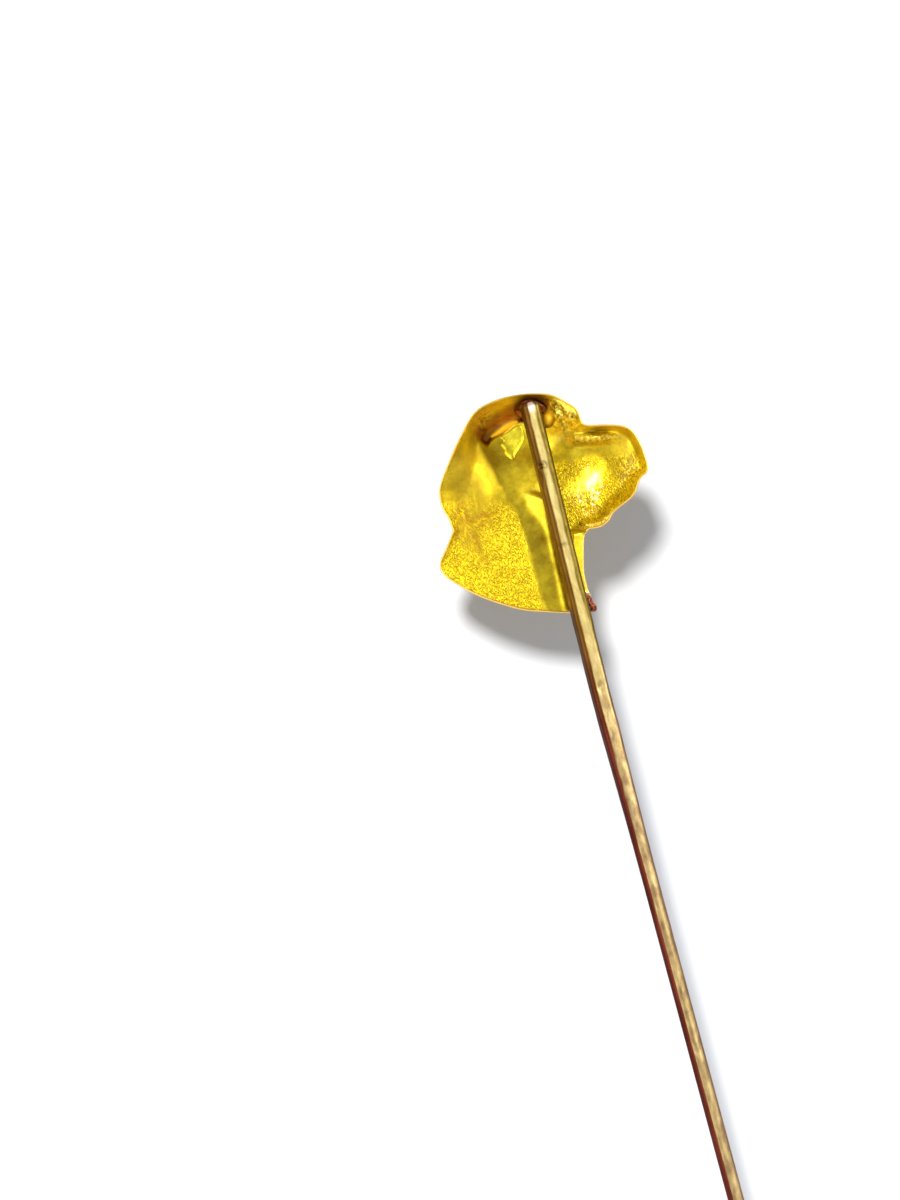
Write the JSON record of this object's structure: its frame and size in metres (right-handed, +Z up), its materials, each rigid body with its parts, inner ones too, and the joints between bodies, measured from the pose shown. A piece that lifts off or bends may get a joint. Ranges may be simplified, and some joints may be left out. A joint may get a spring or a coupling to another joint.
{
  "type": "stick pin",
  "caption": "Rigid dress pin: a hollow-backed cast gold dog's head, soldered at crown and neck to a long stem that goes from a filed bar to a round point.",
  "frame": {"origin": "on the stem's axis, at the top of its round length", "axes": "+Z up the stem towards the head, point down; +Y out of the head's hollow back; the face looks to -Y"},
  "size_m": [0.0143, 0.005, 0.0639],
  "materials": {
    "head_gold": "high-carat yellow gold, matte cast grain in the hollow, polished rim and face",
    "plate_gold": "rolled sheet, dull polish",
    "stem_gold": "lower-carat gold, filed flat, toned red-brown on its sides",
    "solder": "fire-stained hard solder"
  },
  "bodies": {
    "root": {"head_shell": "head_gold", "maker_plate": "plate_gold", "pin_stem": "stem_gold", "crown_solder": "solder", "neck_solder": "solder"}
  },
  "joints": []
}
